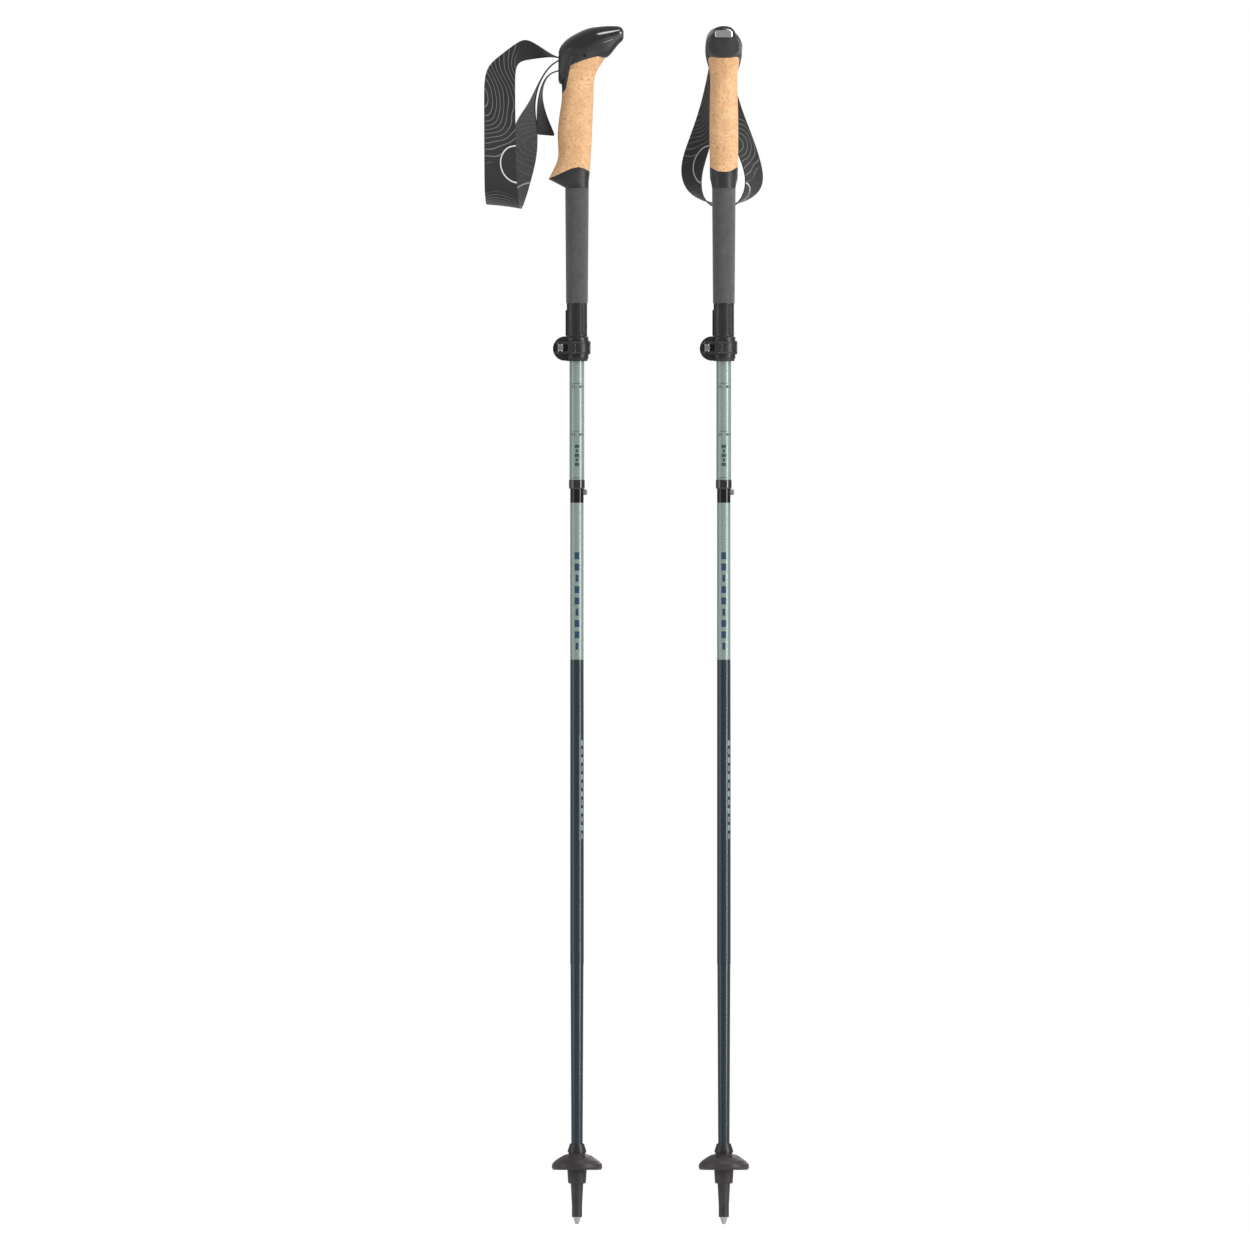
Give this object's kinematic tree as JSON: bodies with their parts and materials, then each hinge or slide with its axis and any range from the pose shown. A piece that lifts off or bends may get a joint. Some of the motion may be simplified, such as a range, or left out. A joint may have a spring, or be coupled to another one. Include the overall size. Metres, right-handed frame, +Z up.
{
  "type": "folding trekking poles",
  "caption": "Pair of folding, length-adjustable trekking poles with cork grips, printed wrist straps, lever clamps, push-button joints, baskets and carbide tips.",
  "frame": {"origin": "centre of the pair's bounding box, at the ground under the tips", "axes": "+Z up along both shafts, +X from pole a to pole b, -Y towards the side pole b's grip points to"},
  "size_m": [0.2973, 0.148, 1.2734],
  "materials": {
    "cork": "satin",
    "foam": "matte",
    "grip_plastic": "satin",
    "gloss_plastic": "gloss",
    "black_plastic": "matte",
    "basket_plastic": "matte",
    "dark_tube": "gloss",
    "sage_tube": "satin",
    "black_tube": "gloss",
    "steel": "satin",
    "carbide": "satin",
    "webbing": "matte",
    "cord": "matte"
  },
  "bodies": {
    "grip_a": {"head_shell_a": "grip_plastic", "head_cap_a": "gloss_plastic", "strap_wedge_a": "black_plastic", "wedge_pin_a": "steel", "cork_grip_a": "cork", "grip_collar_a": "grip_plastic", "foam_grip_a": "foam", "upper_tube_a": "dark_tube", "clamp_body_a": "black_plastic", "lever_pin_a": "steel", "clamp_bolt_a": "steel"},
    "lever_a": {"clamp_lever_a": "black_plastic"},
    "nut_a": {"adjuster_nut_a": "steel"},
    "strap_a": {"wrist_strap_a": "webbing"},
    "slider_a": {"slider_tube_a": "sage_tube", "guide_bush_a": "black_plastic", "lock_collar_a": "black_plastic", "plug_sleeve_a": "black_tube", "button_spring_a": "steel"},
    "button_a": {"release_button_a": "steel"},
    "middle_a": {"middle_tube_a": "sage_tube", "middle_cone_a": "black_plastic", "tension_cord_a": "cord"},
    "lower_a": {"lower_tube_a": "dark_tube", "lower_cone_a": "black_plastic", "cord_anchor_a": "steel", "tip_collar_a": "black_plastic", "basket_a": "basket_plastic", "tip_shaft_a": "black_plastic", "carbide_tip_a": "carbide"},
    "grip_b": {"head_shell_b": "grip_plastic", "head_cap_b": "gloss_plastic", "strap_wedge_b": "black_plastic", "wedge_pin_b": "steel", "cork_grip_b": "cork", "grip_collar_b": "grip_plastic", "foam_grip_b": "foam", "upper_tube_b": "dark_tube", "clamp_body_b": "black_plastic", "lever_pin_b": "steel", "clamp_bolt_b": "steel"},
    "lever_b": {"clamp_lever_b": "black_plastic"},
    "nut_b": {"adjuster_nut_b": "steel"},
    "strap_b": {"wrist_strap_b": "webbing"},
    "slider_b": {"slider_tube_b": "sage_tube", "guide_bush_b": "black_plastic", "lock_collar_b": "black_plastic", "plug_sleeve_b": "black_tube", "button_spring_b": "steel"},
    "button_b": {"release_button_b": "steel"},
    "middle_b": {"middle_tube_b": "sage_tube", "middle_cone_b": "black_plastic", "tension_cord_b": "cord"},
    "lower_b": {"lower_tube_b": "dark_tube", "lower_cone_b": "black_plastic", "cord_anchor_b": "steel", "tip_collar_b": "black_plastic", "basket_b": "basket_plastic", "tip_shaft_b": "black_plastic", "carbide_tip_b": "carbide"}
  },
  "joints": [
    {"name": "length_a", "type": "slide", "parent": "grip_a", "child": "slider_a", "axis": [0, 0, -1], "range_m": [-0.122, 0.077]},
    {"name": "lever_a", "type": "hinge", "parent": "grip_a", "child": "lever_a", "pos_m": [-0.06785, -0.03645, 0.931], "axis": [0, 0, -1], "range_deg": [0, 140]},
    {"name": "nut_a", "type": "hinge", "parent": "grip_a", "child": "nut_a", "pos_m": [-0.06785, -0.01485, 0.931], "axis": [0, 1, 0], "continuous": true},
    {"name": "strap_swing_a", "type": "hinge", "parent": "grip_a", "child": "strap_a", "pos_m": [-0.07115, -0.02525, 1.2377], "axis": [0, 1, 0], "range_deg": [0, 40]},
    {"name": "button_a", "type": "slide", "parent": "slider_a", "child": "button_a", "axis": [-1, 0, 0], "range_m": [0, 0.0038], "stiffness_N_per_m": 600, "deforming": ["button_spring_a"]},
    {"name": "fold_upper_a", "type": "hinge", "parent": "slider_a", "child": "middle_a", "pos_m": [-0.05035, -0.01325, 0.7663], "axis": [1, 0, 0], "range_deg": [0, 177.5], "deforming": ["tension_cord_a"]},
    {"name": "fold_lower_a", "type": "hinge", "parent": "middle_a", "child": "lower_a", "pos_m": [-0.05035, -0.03725, 0.2766], "axis": [-1, 0, 0], "range_deg": [0, 175.5], "deforming": ["tension_cord_a"]},
    {"name": "length_b", "type": "slide", "parent": "grip_b", "child": "slider_b", "axis": [0, 0, -1], "range_m": [-0.122, 0.077]},
    {"name": "lever_b", "type": "hinge", "parent": "grip_b", "child": "lever_b", "pos_m": [0.08815, -0.03645, 0.931], "axis": [0, 0, -1], "range_deg": [0, 140]},
    {"name": "nut_b", "type": "hinge", "parent": "grip_b", "child": "nut_b", "pos_m": [0.08815, -0.01485, 0.931], "axis": [0, 1, 0], "continuous": true},
    {"name": "strap_swing_b", "type": "hinge", "parent": "grip_b", "child": "strap_b", "pos_m": [0.10565, -0.00445, 1.2377], "axis": [1, 0, 0], "range_deg": [0, 40]},
    {"name": "button_b", "type": "slide", "parent": "slider_b", "child": "button_b", "axis": [-1, 0, 0], "range_m": [0, 0.0038], "stiffness_N_per_m": 600, "deforming": ["button_spring_b"]},
    {"name": "fold_upper_b", "type": "hinge", "parent": "slider_b", "child": "middle_b", "pos_m": [0.11765, -0.02525, 0.7663], "axis": [0, -1, 0], "range_deg": [0, 177.5], "deforming": ["tension_cord_b"]},
    {"name": "fold_lower_b", "type": "hinge", "parent": "middle_b", "child": "lower_b", "pos_m": [0.10565, -0.03725, 0.2766], "axis": [-1, 0, 0], "range_deg": [0, 175.5], "deforming": ["tension_cord_b"]},
    {"name": "pole_b_aside", "type": "slide", "parent": "grip_a", "child": "grip_b", "axis": [1, 0, 0], "range_m": [0, 0.3]}
  ]
}
